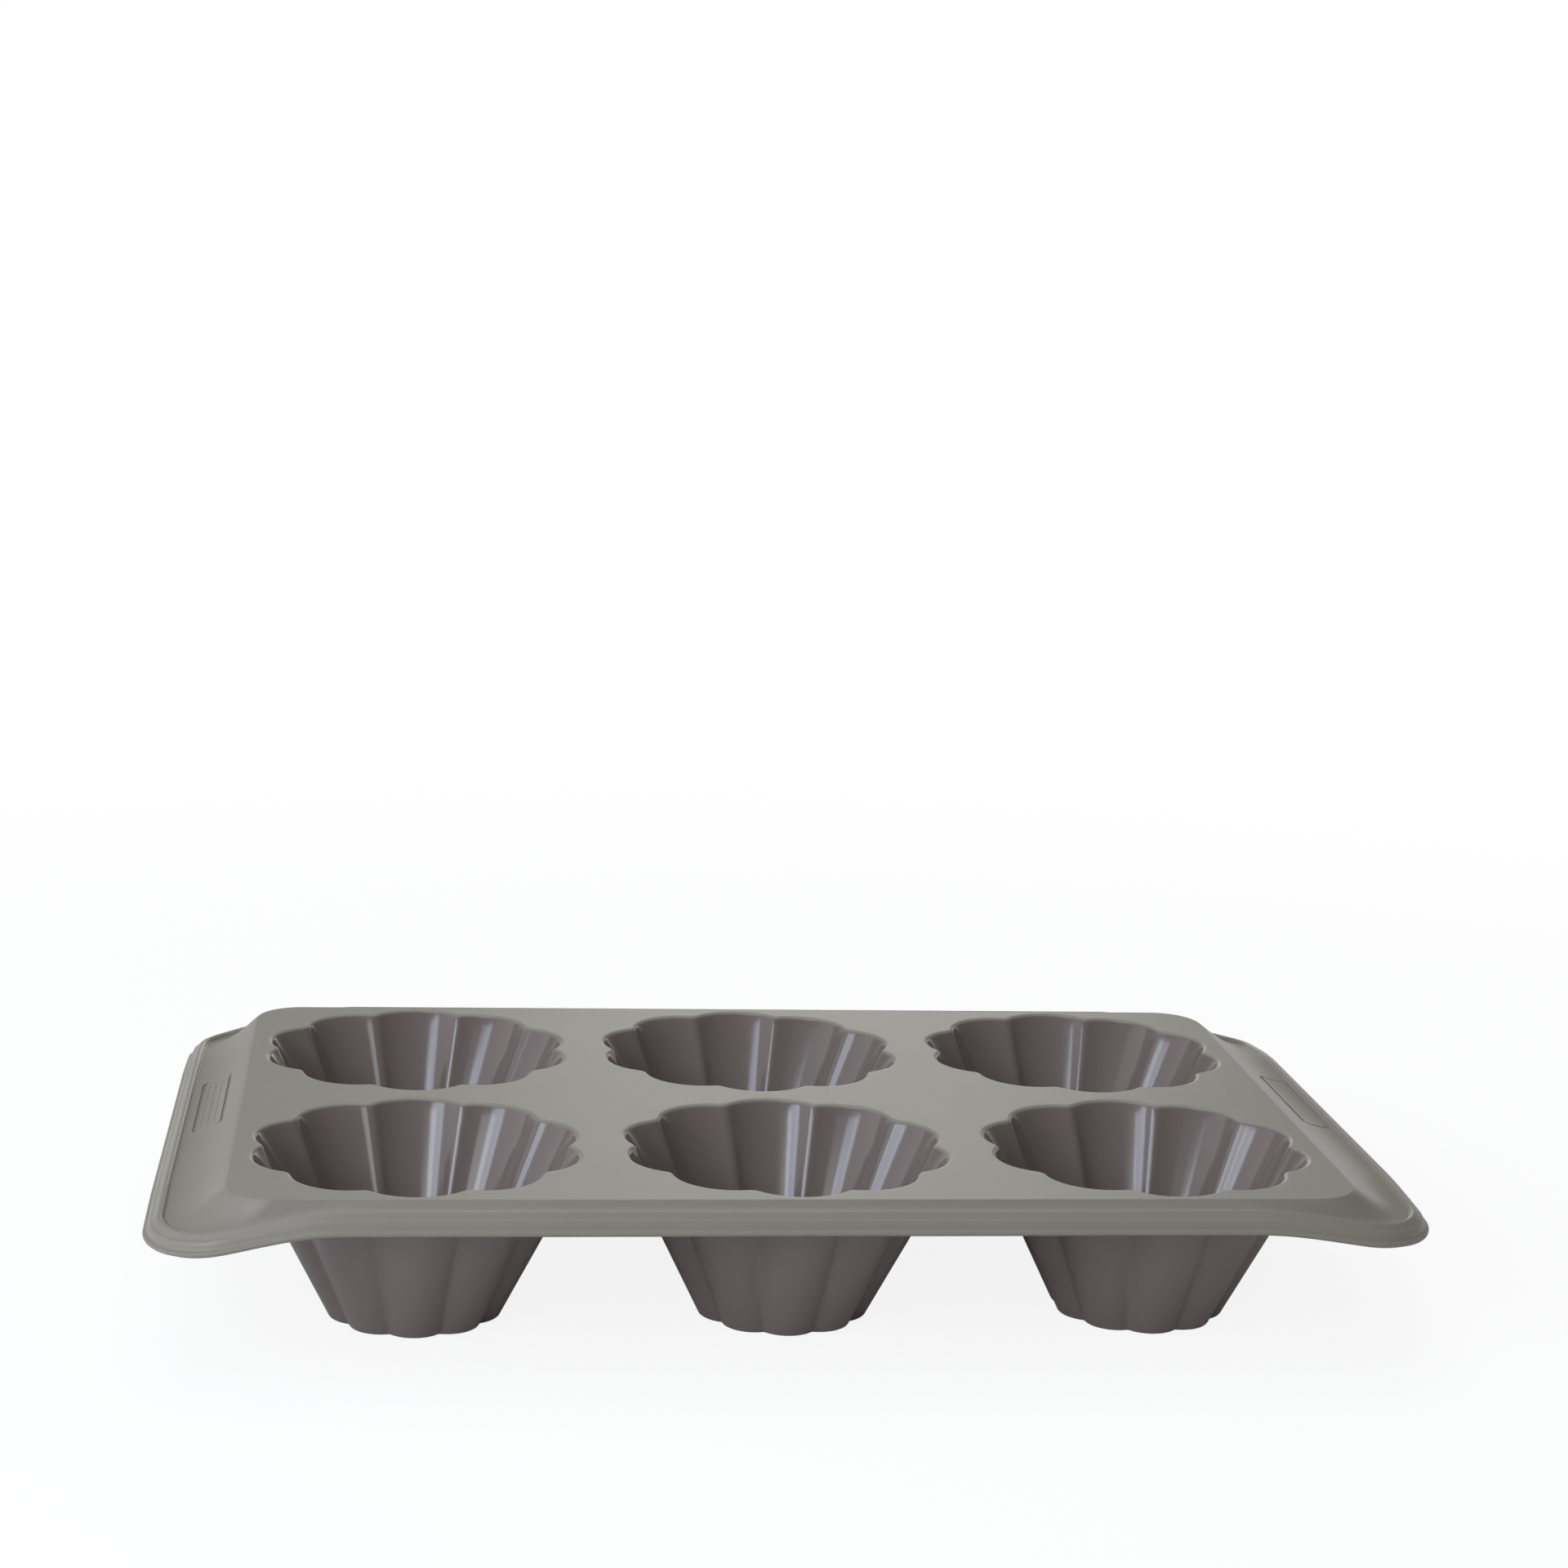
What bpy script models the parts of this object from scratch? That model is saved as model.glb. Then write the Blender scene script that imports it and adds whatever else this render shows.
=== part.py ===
"""Silicone muffin mould: six fluted cups hung from a deck, with a steel ring inside the rim bead.

Metres, +Z up. The origin is under the middle of the mould, on the plane that the cups stand on.
X runs along the long side, and the lobes of each cup face front and back.
"""

import math

import bmesh
import bpy

MM = 0.001

# Cups
COLUMN_NAMES = ("left", "middle", "right")
ROW_NAMES = ("front", "back")
CUP_HEIGHT = 40.0 * MM
MOUTH_RADIUS = 38.8 * MM
INNER_BASE_RADIUS = 18.5 * MM
BASE_EDGE_RADIUS = 1.2 * MM
FLOOR_EDGE_RADIUS = 1.5 * MM
MOUTH_FILLET = 1.5 * MM
COLLAR_DEPTH = 5.0 * MM
LOBES = 10
LOBE_CENTRE_SHARE = 0.646
COLUMN_LAND = 9.5 * MM
ROW_LAND = 5.6 * MM

# Sheet that the deck, the ramps and the cups are moulded in
WALL = 1.6 * MM

# Deck and rim
END_MARGIN = 4.2 * MM
SIDE_MARGIN = 2.0 * MM
DECK_CORNER = 12.0 * MM
DECK_EDGE_SOFTENING = 0.6 * MM
END_RAMP = 12.65 * MM
SIDE_RAMP = 2.95 * MM
RAMP_EASE = 0.65
RAMP_UNDER_INSET = 0.8 * MM
BEAD_CORNER = 17.0 * MM
SIDE_DROP = 3.9 * MM
END_DROP = 9.1 * MM
DROOP_LENGTH = 41.0 * MM
CREASE_DEPTH = 0.95 * MM

# Wire ring and the bead that covers it
WIRE_RADIUS = 1.5 * MM
WIRE_CLEARANCE = 0.3 * MM
BEAD_COVER = 1.05 * MM
LOCATING_HOLE_RADIUS = 1.2 * MM
LOCATING_HOLE_OFFSET = 35.0 * MM
HOLE_OVERRUN = 1.0 * MM

# Looks
SILICONE_COLOUR = (0.30, 0.29, 0.26)
SILICONE_ROUGHNESS = 0.42
STEEL_COLOUR = (0.55, 0.55, 0.55)
STEEL_ROUGHNESS = 0.35

# Facets
LOBE_POINTS = 5
LOBE_ARC_SHARE = 0.93
FILLET_STEPS = 2
CORNER_STEPS = 8
DROOP_STEPS = 4
END_STEPS = 3
RAMP_STEPS = 5
RAMP_CROWDING = 1.3
BEAD_STEPS = 9
TUBE_SIDES = 8
HOLE_SIDES = 10
SHARP_ANGLE = math.radians(40)

# Worked out from the sizes above
TAPER = (MOUTH_RADIUS - INNER_BASE_RADIUS) / CUP_HEIGHT
WALL_TILT = math.atan(TAPER)
FILLET_TURN = math.pi / 2 - WALL_TILT
WALL_ACROSS = WALL / math.cos(WALL_TILT)
SPLIT_HEIGHT = CUP_HEIGHT - COLLAR_DEPTH
MOUTH_EDGE_RADIUS = MOUTH_RADIUS + MOUTH_FILLET * math.tan(FILLET_TURN / 2)
LOBE_FACING_SHARE = max(math.sin(2 * math.pi * k / LOBES) for k in range(LOBES))
MOUTH_WIDTH_SHARE = LOBE_CENTRE_SHARE * LOBE_FACING_SHARE + 1 - LOBE_CENTRE_SHARE
MOUTH_HALF_X = MOUTH_EDGE_RADIUS * MOUTH_WIDTH_SHARE
COLUMN_PITCH = 2 * MOUTH_HALF_X + COLUMN_LAND
ROW_PITCH = 2 * MOUTH_EDGE_RADIUS + ROW_LAND
DECK_HALF_X = COLUMN_PITCH * (len(COLUMN_NAMES) - 1) / 2 + MOUTH_HALF_X + END_MARGIN
DECK_HALF_Y = ROW_PITCH * (len(ROW_NAMES) - 1) / 2 + MOUTH_EDGE_RADIUS + SIDE_MARGIN
CHANNEL_RADIUS = WIRE_RADIUS + WIRE_CLEARANCE
BEAD_RADIUS = CHANNEL_RADIUS + BEAD_COVER
FLANGE_RISE = BEAD_RADIUS - CREASE_DEPTH
CREASE_REACH = math.sqrt(BEAD_RADIUS**2 - FLANGE_RISE**2)
BEAD_HALF_X = DECK_HALF_X + END_RAMP + CREASE_REACH
BEAD_HALF_Y = DECK_HALF_Y + SIDE_RAMP + CREASE_REACH


def clear_scene():
    for old in list(bpy.data.objects):
        bpy.data.objects.remove(old, do_unlink=True)


def material(name, colour, roughness, metallic=0.0):
    made = bpy.data.materials.new(name)
    made.use_nodes = True
    shader = made.node_tree.nodes["Principled BSDF"]
    shader.inputs["Base Color"].default_value = (*colour, 1.0)
    shader.inputs["Roughness"].default_value = roughness
    shader.inputs["Metallic"].default_value = metallic
    made.diffuse_color = (*colour, 1.0)
    return made


def finish(name, bm, surface, parent, location=(0.0, 0.0, 0.0)):
    """Turn a closed bmesh into a smooth-shaded object."""
    bmesh.ops.recalc_face_normals(bm, faces=bm.faces)
    mesh = bpy.data.meshes.new(name)
    bm.to_mesh(mesh)
    bm.free()
    mesh.materials.append(surface)
    mesh.shade_smooth()
    mesh.set_sharp_from_angle(angle=SHARP_ANGLE)
    return place(name, mesh, parent, location)


def place(name, mesh, parent, location):
    placed = bpy.data.objects.new(name, mesh)
    placed.parent = parent
    placed.location = location
    bpy.context.scene.collection.objects.link(placed)
    return placed


def smooth_step(share):
    share = min(max(share, 0.0), 1.0)
    return share * share * (3.0 - 2.0 * share)


def add_loop(bm, points):
    return [bm.verts.new(point) for point in points]


def loft(bm, loops):
    """Join each closed loop to the next with a band of four-sided faces."""
    for first, second in zip(loops, loops[1:]):
        for i, vert in enumerate(first):
            j = (i + 1) % len(first)
            bm.faces.new((vert, first[j], second[j], second[i]))


def fill_between(bm, loops):
    """Fill a flat area whose outline and holes are the given loops."""
    edges = []
    for loop in loops:
        for i, vert in enumerate(loop):
            edges.append(bm.edges.get((vert, loop[(i + 1) % len(loop)])))
    bmesh.ops.triangle_fill(bm, use_beauty=True, use_dissolve=False, edges=edges)


def fan_cap(bm, loop, centre):
    hub = bm.verts.new(centre)
    for i, vert in enumerate(loop):
        bm.faces.new((hub, vert, loop[(i + 1) % len(loop)]))


def lobed_outline(tip_radius):
    """Plan points of a ring of outward arcs that meet in rounded cusps, one arc facing +Y."""
    centre = LOBE_CENTRE_SHARE * tip_radius
    arc_radius = tip_radius - centre
    half_pitch = math.pi / LOBES
    chord_side = centre * math.sin(half_pitch)
    cusp = centre * math.cos(half_pitch) + math.sqrt(arc_radius**2 - chord_side**2)
    cusp_angle = math.atan2(cusp * math.sin(half_pitch), cusp * math.cos(half_pitch) - centre)
    points = []
    for lobe in range(LOBES):
        facing = math.pi / 2 + lobe * 2 * math.pi / LOBES
        for step in range(LOBE_POINTS):
            angle = LOBE_ARC_SHARE * cusp_angle * (2 * step / (LOBE_POINTS - 1) - 1)
            along = centre + arc_radius * math.cos(angle)
            across = arc_radius * math.sin(angle)
            x = along * math.cos(facing) - across * math.sin(facing)
            y = along * math.sin(facing) + across * math.cos(facing)
            points.append((x, y))
    return points


def cup_loop(bm, tip_radius, height, centre=(0.0, 0.0)):
    outline = lobed_outline(tip_radius)
    return add_loop(bm, [(centre[0] + x, centre[1] + y, height) for x, y in outline])


def inner_radius(height):
    return INNER_BASE_RADIUS + TAPER * height


def outer_radius(height):
    return inner_radius(height) + WALL_ACROSS


def edge_round(wall_radius, floor_height, edge_radius):
    """Radius and height pairs of the round from a level floor up into the tapered wall."""
    tangent = edge_radius * math.tan(FILLET_TURN / 2)
    middle = wall_radius(floor_height) - tangent
    pairs = []
    for step in range(FILLET_STEPS + 1):
        angle = FILLET_TURN * step / FILLET_STEPS
        radius = middle + edge_radius * math.sin(angle)
        pairs.append((radius, floor_height + edge_radius * (1 - math.cos(angle))))
    return pairs


def mouth_round():
    """Radius and height pairs of the round from the deck's top down into the inner wall."""
    pairs = []
    for step in range(FILLET_STEPS + 1):
        angle = FILLET_TURN * step / FILLET_STEPS
        radius = MOUTH_EDGE_RADIUS - MOUTH_FILLET * math.sin(angle)
        pairs.append((radius, CUP_HEIGHT - MOUTH_FILLET * (1 - math.cos(angle))))
    return pairs


def cup_centres():
    """Name and plan centre of each cup, front row first."""
    for row, row_name in enumerate(ROW_NAMES):
        y = (row - (len(ROW_NAMES) - 1) / 2) * ROW_PITCH
        for column, column_name in enumerate(COLUMN_NAMES):
            x = (column - (len(COLUMN_NAMES) - 1) / 2) * COLUMN_PITCH
            yield f"cup_{row_name}_{column_name}", x, y


def cup_mesh():
    """One cup below the split: a tapered lobed wall, a rounded edge and a flat base."""
    bm = bmesh.new()
    outside = [cup_loop(bm, outer_radius(SPLIT_HEIGHT), SPLIT_HEIGHT)]
    for radius, height in reversed(edge_round(outer_radius, 0.0, BASE_EDGE_RADIUS)):
        outside.append(cup_loop(bm, radius, height))
    inside = [cup_loop(bm, inner_radius(SPLIT_HEIGHT), SPLIT_HEIGHT)]
    for radius, height in reversed(edge_round(inner_radius, WALL, FLOOR_EDGE_RADIUS)):
        inside.append(cup_loop(bm, radius, height))
    loft(bm, list(reversed(outside)) + inside)
    fan_cap(bm, outside[-1], (0.0, 0.0, 0.0))
    fan_cap(bm, inside[-1], (0.0, 0.0, WALL))
    return bm


def make_cups(surface, parent):
    shared = None
    for name, x, y in cup_centres():
        if shared is None:
            shared = finish(name, cup_mesh(), surface, parent, (x, y, 0.0)).data
        else:
            place(name, shared, parent, (x, y, 0.0))


def side_shares():
    """Places along half a long side, as shares of its straight run, closer where the rim falls."""
    start = (BEAD_HALF_X - DROOP_LENGTH) / (BEAD_HALF_X - BEAD_CORNER)
    return [start + (1.0 - start) * step / DROOP_STEPS for step in range(DROOP_STEPS)]


def rounded_loop(half_x, half_y, corner):
    """Plan points of a rounded rectangle, anticlockwise, with the same stations at every size."""
    straight_x = half_x - corner
    straight_y = half_y - corner
    long_shares = [-share for share in reversed(side_shares())] + side_shares()
    end_shares = [2 * step / END_STEPS - 1 for step in range(1, END_STEPS)]
    sides = (
        [(half_x, share * straight_y) for share in end_shares],
        [(-share * straight_x, half_y) for share in long_shares],
        [(-half_x, -share * straight_y) for share in end_shares],
        [(share * straight_x, -half_y) for share in long_shares],
    )
    corners = ((1, -1), (1, 1), (-1, 1), (-1, -1))
    points = []
    for quarter, (sign_x, sign_y) in enumerate(corners):
        for step in range(CORNER_STEPS + 1):
            angle = math.pi / 2 * (quarter - 1 + step / CORNER_STEPS)
            x = sign_x * straight_x + corner * math.cos(angle)
            y = sign_y * straight_y + corner * math.sin(angle)
            points.append((x, y))
        points.extend(sides[quarter])
    return points


def droop_share(x):
    """How far the rim has fallen at x: 0 along the sides, 1 at the ends."""
    return smooth_step((abs(x) - BEAD_HALF_X + DROOP_LENGTH) / DROOP_LENGTH)


def droop_shares():
    return [droop_share(x) for x, _ in rounded_loop(BEAD_HALF_X, BEAD_HALF_Y, BEAD_CORNER)]


def bead_height(share):
    return CUP_HEIGHT - SIDE_DROP - (END_DROP - SIDE_DROP) * share


def bead_loop(bm, outset, rise):
    """Loop beside the bead's middle line, moved out in plan and up."""
    plan = rounded_loop(BEAD_HALF_X + outset, BEAD_HALF_Y + outset, BEAD_CORNER + outset)
    heights = [bead_height(share) + rise for share in droop_shares()]
    return add_loop(bm, [(x, y, z) for (x, y), z in zip(plan, heights)])


def ramp_loop(bm, share, inset_x, sink):
    """Loop on the ramp between the deck's edge and the crease, at a share of the way out."""
    soft = DECK_EDGE_SOFTENING
    deck = rounded_loop(DECK_HALF_X - soft, DECK_HALF_Y - soft, DECK_CORNER - soft)
    half_x, half_y = BEAD_HALF_X - CREASE_REACH, BEAD_HALF_Y - CREASE_REACH
    crease = rounded_loop(half_x, half_y, BEAD_CORNER - CREASE_REACH)
    fall = smooth_step(share**RAMP_EASE)
    points = []
    for (deck_x, deck_y), (crease_x, crease_y), fallen in zip(deck, crease, droop_shares()):
        x = deck_x + (crease_x - deck_x) * share
        y = deck_y + (crease_y - deck_y) * share
        z = CUP_HEIGHT + (bead_height(fallen) + FLANGE_RISE - CUP_HEIGHT) * fall
        points.append((x - math.copysign(inset_x, x), y, z - sink))
    return add_loop(bm, points)


def bead_section():
    """Outset and rise pairs round the bead, from the crease over the top to the underside."""
    start = math.pi - math.asin(FLANGE_RISE / BEAD_RADIUS)
    end = -math.pi - math.asin((FLANGE_RISE - WALL) / BEAD_RADIUS)
    pairs = []
    for step in range(BEAD_STEPS + 1):
        angle = start + (end - start) * step / BEAD_STEPS
        pairs.append((BEAD_RADIUS * math.cos(angle), BEAD_RADIUS * math.sin(angle)))
    return pairs


def deck_edge(bm, sink):
    """Loop where the deck ends and the rim begins, on the top or sunk below it."""
    return ramp_loop(bm, 0.0, 0.0, sink)


def deck_mesh():
    """Flat deck with its six mouths, and the collars that hang from them."""
    bm = bmesh.new()
    edges = [deck_edge(bm, 0.0), deck_edge(bm, WALL)]
    loft(bm, edges)
    under = CUP_HEIGHT - WALL
    mouths = []
    undersides = []
    for _, x, y in cup_centres():
        loops = [cup_loop(bm, radius, height, (x, y)) for radius, height in mouth_round()]
        loops.append(cup_loop(bm, inner_radius(SPLIT_HEIGHT), SPLIT_HEIGHT, (x, y)))
        loops.append(cup_loop(bm, outer_radius(SPLIT_HEIGHT), SPLIT_HEIGHT, (x, y)))
        loops.append(cup_loop(bm, outer_radius(under), under, (x, y)))
        loft(bm, loops)
        mouths.append(loops[0])
        undersides.append(loops[-1])
    fill_between(bm, [edges[0]] + mouths)
    fill_between(bm, [edges[1]] + undersides)
    return bm


def rim_mesh():
    """Ramp and bead, as one closed sheet that begins at the deck's edge."""
    bm = bmesh.new()
    shares = [(step / RAMP_STEPS) ** RAMP_CROWDING for step in range(RAMP_STEPS)]
    loops = [ramp_loop(bm, share, 0.0, 0.0) for share in shares]
    loops += [bead_loop(bm, outset, rise) for outset, rise in bead_section()]
    loops += [ramp_loop(bm, share, RAMP_UNDER_INSET, WALL) for share in reversed(shares[2::2])]
    loops.append(deck_edge(bm, WALL))
    loft(bm, loops + loops[:1])
    return bm


def rim_tube(radius):
    """Closed tube of a given radius along the bead's middle line."""
    bm = bmesh.new()
    loops = []
    for side in range(TUBE_SIDES):
        angle = 2 * math.pi * side / TUBE_SIDES
        loops.append(bead_loop(bm, radius * math.cos(angle), radius * math.sin(angle)))
    loft(bm, loops + loops[:1])
    return bm


def hole_places():
    """Plan places of the locating holes: one beside each column, and a pair at each end."""
    for side in (-1, 1):
        for x in (-COLUMN_PITCH, 0.0, COLUMN_PITCH):
            yield x, side * BEAD_HALF_Y
        for y in (-LOCATING_HOLE_OFFSET, LOCATING_HOLE_OFFSET):
            yield side * BEAD_HALF_X, y


def circle_loop(bm, radius, centre, height):
    turns = [2 * math.pi * side / HOLE_SIDES for side in range(HOLE_SIDES)]
    circle = [(radius * math.cos(turn), radius * math.sin(turn)) for turn in turns]
    return add_loop(bm, [(centre[0] + x, centre[1] + y, height) for x, y in circle])


def locating_holes():
    """Upright pins under the bead, where the mould's pins held the wire as silicone flowed in."""
    bm = bmesh.new()
    for x, y in hole_places():
        middle = bead_height(droop_share(x))
        below = middle - BEAD_RADIUS - HOLE_OVERRUN
        ends = [circle_loop(bm, LOCATING_HOLE_RADIUS, (x, y), z) for z in (below, middle)]
        loft(bm, ends)
        for loop in ends:
            bm.faces.new(loop)
    return bm


def cut(target, cutter):
    cutter.hide_render = True
    cutter.display_type = "WIRE"
    boolean = target.modifiers.new(cutter.name, "BOOLEAN")
    boolean.operation = "DIFFERENCE"
    boolean.object = cutter


def make_rim(surface, parent):
    rim = finish("rim", rim_mesh(), surface, parent)
    cut(rim, finish("wire_channel", rim_tube(CHANNEL_RADIUS), surface, parent))
    cut(rim, finish("locating_holes", locating_holes(), surface, parent))


def main():
    clear_scene()
    silicone = material("greige_silicone", SILICONE_COLOUR, SILICONE_ROUGHNESS)
    steel = material("steel_wire", STEEL_COLOUR, STEEL_ROUGHNESS, 1.0)
    mould = bpy.data.objects.new("muffin_mould", None)
    bpy.context.scene.collection.objects.link(mould)
    finish("deck", deck_mesh(), silicone, mould)
    make_rim(silicone, mould)
    make_cups(silicone, mould)
    finish("rim_wire", rim_tube(WIRE_RADIUS), steel, mould)


main()
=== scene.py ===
"""A silicone muffin mould with six fluted cups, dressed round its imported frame.

The deck, the rim and the cups are one greige moulding in life. Each is a piece of its own here, and
the pieces share their rings where they meet, so that no seam shows. All sizes are in metres.
"""

import logging
import math
from collections.abc import Callable, Iterator, Sequence
from dataclasses import dataclass

import bmesh
import bpy
from mathutils import Matrix, Vector


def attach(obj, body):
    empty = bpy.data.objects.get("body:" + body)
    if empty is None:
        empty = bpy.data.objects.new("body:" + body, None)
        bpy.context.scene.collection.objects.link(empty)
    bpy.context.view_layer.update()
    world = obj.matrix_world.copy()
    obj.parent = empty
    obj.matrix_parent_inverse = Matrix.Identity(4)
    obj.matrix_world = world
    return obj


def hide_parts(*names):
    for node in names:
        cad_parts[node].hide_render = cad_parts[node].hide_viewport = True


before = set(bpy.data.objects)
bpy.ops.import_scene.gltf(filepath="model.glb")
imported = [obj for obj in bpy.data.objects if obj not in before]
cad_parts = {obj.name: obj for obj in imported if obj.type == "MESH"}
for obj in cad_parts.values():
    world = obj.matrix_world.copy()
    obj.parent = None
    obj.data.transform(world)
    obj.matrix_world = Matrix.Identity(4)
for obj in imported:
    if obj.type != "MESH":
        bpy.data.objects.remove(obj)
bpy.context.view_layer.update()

LOG = logging.getLogger("muffin_mould")
MM = 0.001
BODY = "root"

# Points nearer to each other than this are welded
WELD_GAP = 0.001 * MM
# An edge whose ends are this near a height lies at it
LEVEL_GAP = 0.01 * MM
# A face is level if its normal's Z is beyond this
LEVEL_NORMAL = 0.9
# Edges that turn by more than this stay sharp
SMOOTH_ANGLE = math.radians(40)

# Signs of X and Y at a rectangle's corners, anticlockwise from the front right one
QUARTERS = ((1, -1), (1, 1), (-1, 1), (-1, -1))

Point = tuple[float, float, float]
Plan = tuple[float, float]
Colour = tuple[float, float, float]


# Sizes


@dataclass(frozen=True)
class CupSizes:
    """Sizes of one fluted cup and of its mouth in the deck."""

    height: float = 40.0 * MM
    mouth_radius: float = 38.8 * MM
    inner_base_radius: float = 18.5 * MM
    base_edge_radius: float = 1.2 * MM
    floor_edge_radius: float = 1.5 * MM
    mouth_fillet: float = 1.5 * MM
    collar_depth: float = 5.0 * MM
    wall: float = 1.6 * MM
    lobes: int = 10
    lobe_centre_share: float = 0.646
    ridge_share: float = 0.064
    groove_share: float = 0.04
    flat_band: float = 0.4 * MM
    column_land: float = 9.5 * MM
    row_land: float = 5.6 * MM

    @property
    def taper(self) -> float:
        """Growth of the radius with height."""
        return (self.mouth_radius - self.inner_base_radius) / self.height

    @property
    def tilt(self) -> float:
        """Lean of the wall away from upright, in radians."""
        return math.atan(self.taper)

    @property
    def turn(self) -> float:
        """Angle that a round turns through from level to the wall, in radians."""
        return math.pi / 2 - self.tilt

    @property
    def split(self) -> float:
        """Height at which the cups meet the collars of the deck."""
        return self.height - self.collar_depth

    @property
    def under(self) -> float:
        """Height of the deck's underside."""
        return self.height - self.wall

    @property
    def mouth_edge(self) -> float:
        """Radius at which the mouth's round meets the flat deck."""
        return self.mouth_radius + self.mouth_fillet * math.tan(self.turn / 2)

    @property
    def mouth_half_x(self) -> float:
        """Half the mouth's width along X, where its lobes stand to each side of the axis."""
        aside = max(math.sin(2 * math.pi * lobe / self.lobes) for lobe in range(self.lobes))
        return self.mouth_edge * (self.lobe_centre_share * aside + 1 - self.lobe_centre_share)

    @property
    def column_pitch(self) -> float:
        """Distance from one column of cups to the next."""
        return 2 * self.mouth_half_x + self.column_land

    @property
    def row_pitch(self) -> float:
        """Distance from one row of cups to the next."""
        return 2 * self.mouth_edge + self.row_land

    def inner(self, height: float) -> float:
        """Radius of the inner wall at a height."""
        return self.inner_base_radius + self.taper * height

    def outer(self, height: float) -> float:
        """Radius of the outer wall at a height."""
        return self.inner(height) + self.wall / math.cos(self.tilt)


# The bead's section, as millimetres out and up from its middle line: up from the inner crease
# over the ridge, into the outer crease, down the hollow lip and back under it
BEAD_PROFILE: tuple[Plan, ...] = (
    (-2.12, 1.89), (-2.02, 1.86), (-1.91, 1.91), (-1.80, 2.08), (-1.67, 2.27), (-1.51, 2.45),
    (-1.32, 2.60), (-1.11, 2.71), (-0.90, 2.77), (-0.72, 2.77), (-0.55, 2.71), (-0.39, 2.61),
    (-0.23, 2.48), (-0.06, 2.32), (0.11, 2.14), (0.27, 1.96), (0.43, 1.78), (0.57, 1.62),
    (0.69, 1.49), (0.81, 1.40), (0.95, 1.33), (1.12, 1.22), (1.29, 1.05), (1.43, 0.84),
    (1.54, 0.61), (1.63, 0.37), (1.70, 0.13), (1.76, -0.11), (1.83, -0.33), (1.92, -0.52),
    (2.04, -0.66), (2.20, -0.76), (2.39, -0.83), (2.58, -0.90), (2.73, -0.99), (2.81, -1.12),
    (2.83, -1.28), (2.83, -1.44), (2.80, -1.59), (2.73, -1.72), (2.62, -1.82), (2.46, -1.90),
    (2.26, -1.97), (2.00, -2.06), (1.65, -2.18), (1.20, -2.35), (0.80, -2.54), (0.40, -2.72),
    (0.15, -2.81), (0.00, -2.84),
)


@dataclass(frozen=True)
class RimSizes:
    """Sizes of the deck's outline, the ramps down from it and the bead."""

    cups: CupSizes = CupSizes()
    end_margin: float = 4.2 * MM
    side_margin: float = 2.0 * MM
    deck_corner: float = 12.0 * MM
    edge_softening: float = 0.6 * MM
    end_ramp: float = 12.65 * MM
    side_ramp: float = 2.95 * MM
    ramp_ease: float = 0.65
    bead_corner: float = 17.0 * MM
    bead_radius: float = 2.84 * MM
    crease_depth: float = 0.95 * MM
    side_drop: float = 3.9 * MM
    left_drop: float = 10.0 * MM
    right_drop: float = 8.1 * MM
    droop_length: float = 41.0 * MM
    left_back_sag: float = 0.5 * MM
    right_back_sag: float = 1.5 * MM
    end_bow: float = 1.8 * MM
    end_bow_reach: float = 42.0 * MM
    channel_radius: float = 1.53 * MM
    wire_radius: float = 1.5 * MM
    under_inset: float = 0.8 * MM
    inset_share: float = 0.25
    hole_radius: float = 1.2 * MM
    hole_offset: float = 35.0 * MM
    hole_overrun: float = 1.0 * MM

    @property
    def deck_half(self) -> Plan:
        """Half sizes of the deck's outline, before its edge is softened."""
        half_x = self.cups.column_pitch + self.cups.mouth_half_x + self.end_margin
        half_y = self.cups.row_pitch / 2 + self.cups.mouth_edge + self.side_margin
        return half_x, half_y

    @property
    def flange_rise(self) -> float:
        """Height of the crease above the bead's middle line."""
        return self.bead_radius - self.crease_depth

    @property
    def crease_reach(self) -> float:
        """Distance in plan from the bead's middle line in to the crease."""
        return math.sqrt(self.bead_radius**2 - self.flange_rise**2)

    @property
    def bead_half(self) -> Plan:
        """Half sizes of the bead's middle line."""
        half_x, half_y = self.deck_half
        reach = self.crease_reach
        return half_x + self.end_ramp + reach, half_y + self.side_ramp + reach


@dataclass(frozen=True)
class PanelSizes:
    """Sizes of the plain framed panel that is sunk in each end ramp."""

    left_inset: float = 7.6 * MM
    right_inset: float = 6.2 * MM
    middle_y: float = 8.0 * MM
    half_width: float = 3.3 * MM
    half_length: float = 21.0 * MM
    corner: float = 1.0 * MM
    frame_foot: float = 0.28 * MM
    frame_depth: float = 0.42 * MM
    line_foot: float = 0.36 * MM
    line_depth: float = 0.08 * MM
    line_half_length: float = 17.0 * MM
    line_offsets: tuple[float, ...] = (-1.6 * MM, 0.0, 1.6 * MM)
    flare: float = 0.57
    overshoot: float = 0.5 * MM


@dataclass(frozen=True)
class Fineness:
    """How many steps the curved forms are made in, and where their rings lie."""

    points_in_lobe: int = 32
    floor_rings: tuple[float, ...] = (0.35, 0.7)
    wall_rings: int = 6
    collar_rings: int = 2
    fillet_steps: int = 8
    corner_steps: int = 24
    droop_steps: int = 24
    side_steps: int = 22
    end_steps: int = 26
    ramp_steps: int = 20
    ramp_crowding: float = 1.3
    under_bead_steps: int = 16
    under_steps: int = 8
    tube_sides: int = 24
    hole_sides: int = 32
    panel_side_steps: int = 8
    panel_corner_steps: int = 4


CUP = CupSizes()
RIM = RimSizes()
PANEL = PanelSizes()
FINE = Fineness()


# Small helpers


def smooth_step(share: float) -> float:
    """Ease from 0 to 1 with level ends.

    Args:
        share: Any number. It is held between 0 and 1.

    Returns:
        The eased share.
    """
    share = min(max(share, 0.0), 1.0)
    return share * share * (3.0 - 2.0 * share)


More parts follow.
